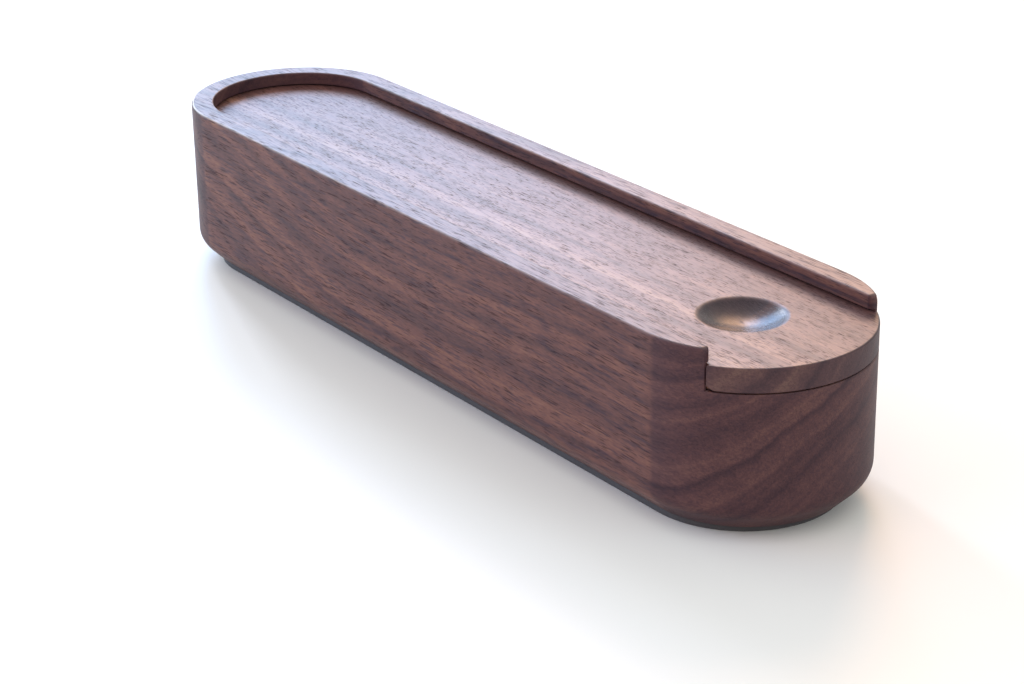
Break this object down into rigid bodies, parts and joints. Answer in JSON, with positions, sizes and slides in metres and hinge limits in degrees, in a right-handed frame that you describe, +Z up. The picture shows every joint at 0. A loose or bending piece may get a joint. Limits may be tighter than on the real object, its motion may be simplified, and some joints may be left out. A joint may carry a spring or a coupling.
{
  "type": "pen box with sliding lid",
  "caption": "Round-ended wooden pen box: a routed body with a raised rim and an undercut groove, a sliding lid with a finger dimple, and a thin pad underneath.",
  "frame": {"origin": "on the table, under the middle of the box's length and width", "axes": "+X along the length towards the end with the finger dimple, +Y across the width, +Z up"},
  "size_m": [0.213, 0.05, 0.039],
  "materials": {
    "walnut_body": "oiled satin walnut, grain along the length, open dark pores",
    "walnut_lid": "oiled satin walnut, grain along the length, open dark pores",
    "pad": "matte dark blue-grey non-slip pad"
  },
  "bodies": {
    "case": {"case_body": "walnut_body", "base_pad": "pad"},
    "lid": {"sliding_lid": "walnut_lid"}
  },
  "joints": [
    {"name": "lid_slide", "type": "slide", "parent": "case", "child": "lid", "axis": [1, 0, 0], "range_m": [0, 0.214]}
  ]
}
